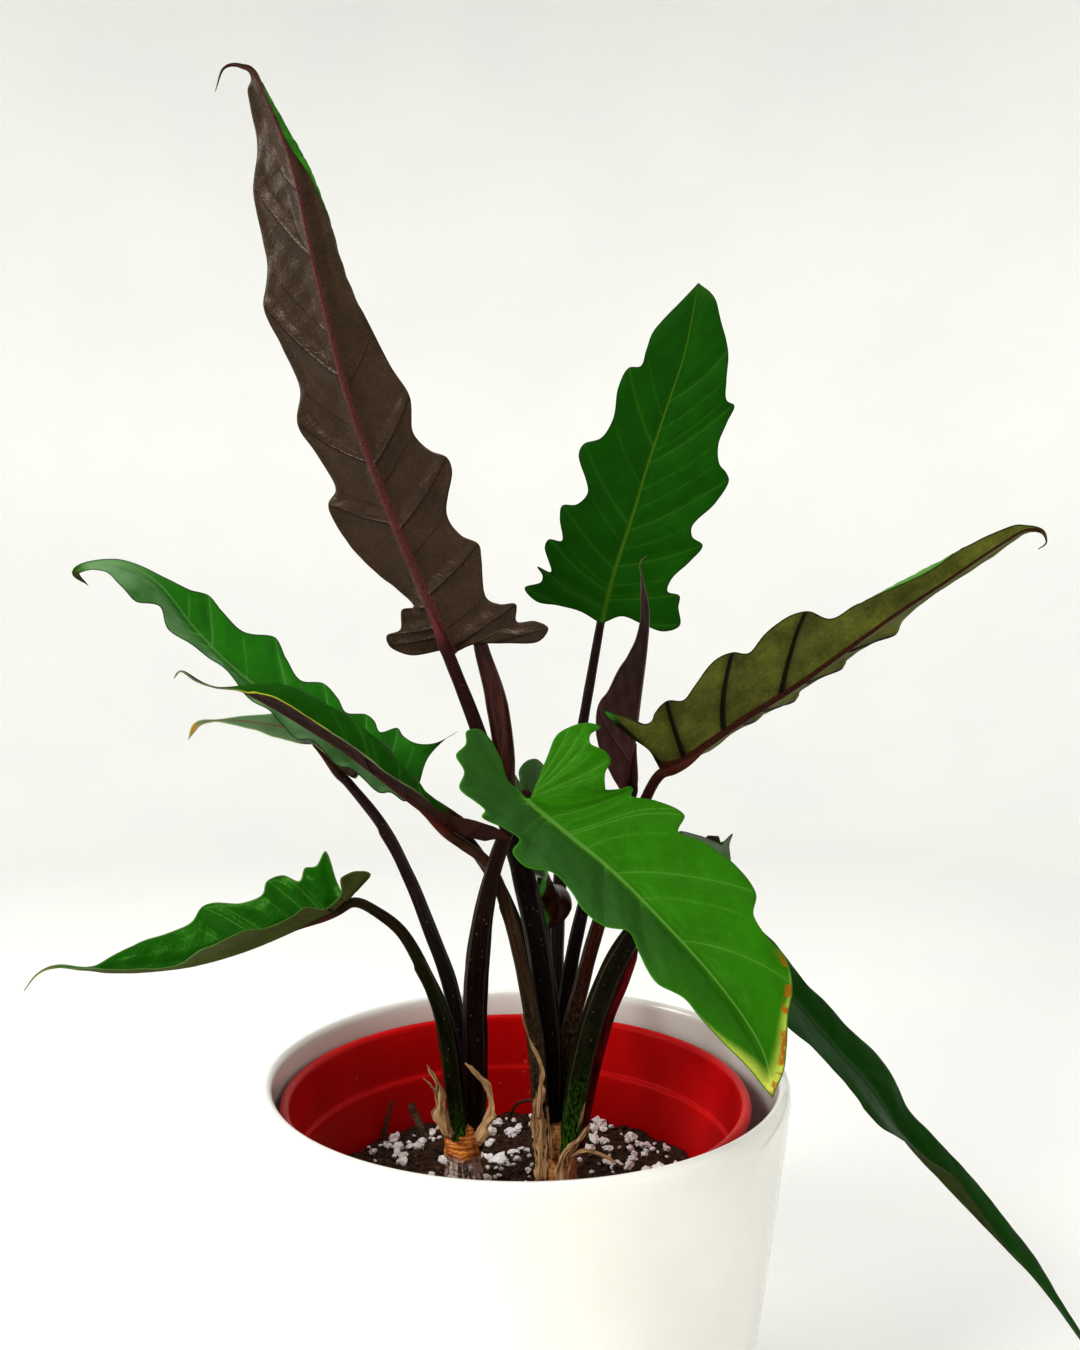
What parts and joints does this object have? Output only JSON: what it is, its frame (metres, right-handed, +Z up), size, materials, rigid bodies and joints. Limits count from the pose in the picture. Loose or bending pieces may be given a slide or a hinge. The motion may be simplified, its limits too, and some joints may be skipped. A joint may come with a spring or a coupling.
{
  "type": "potted alocasia plant",
  "caption": "Potted alocasia with long arrow-shaped, wavy-edged leaves on dark stalks, rooted in soil in a red nursery pot standing in a white cachepot.",
  "frame": {"origin": "centre of the white pot's base, on the surface it stands on", "axes": "+Z up, +X to the viewer's right and +Y away from the viewer in the picture's view"},
  "size_m": [0.4706, 0.2722, 0.6429],
  "materials": {
    "glazed_white": "gloss",
    "red_plastic": "gloss",
    "potting_soil": "matte",
    "leaf_base": "matte",
    "leaf_green": "satin",
    "leaf_under": "gloss",
    "leaf_stalk": "satin",
    "dry_sheath": "matte"
  },
  "bodies": {
    "root": {"outer_pot": "glazed_white", "inner_pot": "red_plastic", "soil": "potting_soil", "corm_left": "leaf_base", "corm_right": "leaf_base", "blade_tall": "leaf_under", "blade_upright": "leaf_green", "blade_left_upper": "leaf_green", "blade_left_middle": "leaf_green", "blade_left_back": "leaf_green", "blade_left_lower": "leaf_green", "blade_front": "leaf_green", "blade_right": "leaf_under", "blade_young": "leaf_under", "blade_trailing": "leaf_green", "blade_inner": "leaf_green", "stalk_trailing": "leaf_stalk", "stalk_tall": "leaf_stalk", "stalk_left_middle": "leaf_stalk", "stalk_right": "leaf_stalk", "stalk_young": "leaf_stalk", "stalk_upright": "leaf_stalk", "stalk_left_upper": "leaf_stalk", "stalk_inner": "leaf_stalk", "stalk_front": "leaf_stalk", "stalk_left_lower": "leaf_stalk", "stalk_left_back": "leaf_stalk", "spear": "leaf_under", "dry_sheath_left_a": "dry_sheath", "dry_sheath_left_b": "dry_sheath", "dry_sheath_right": "dry_sheath", "dry_knot_right": "dry_sheath"}
  },
  "joints": []
}
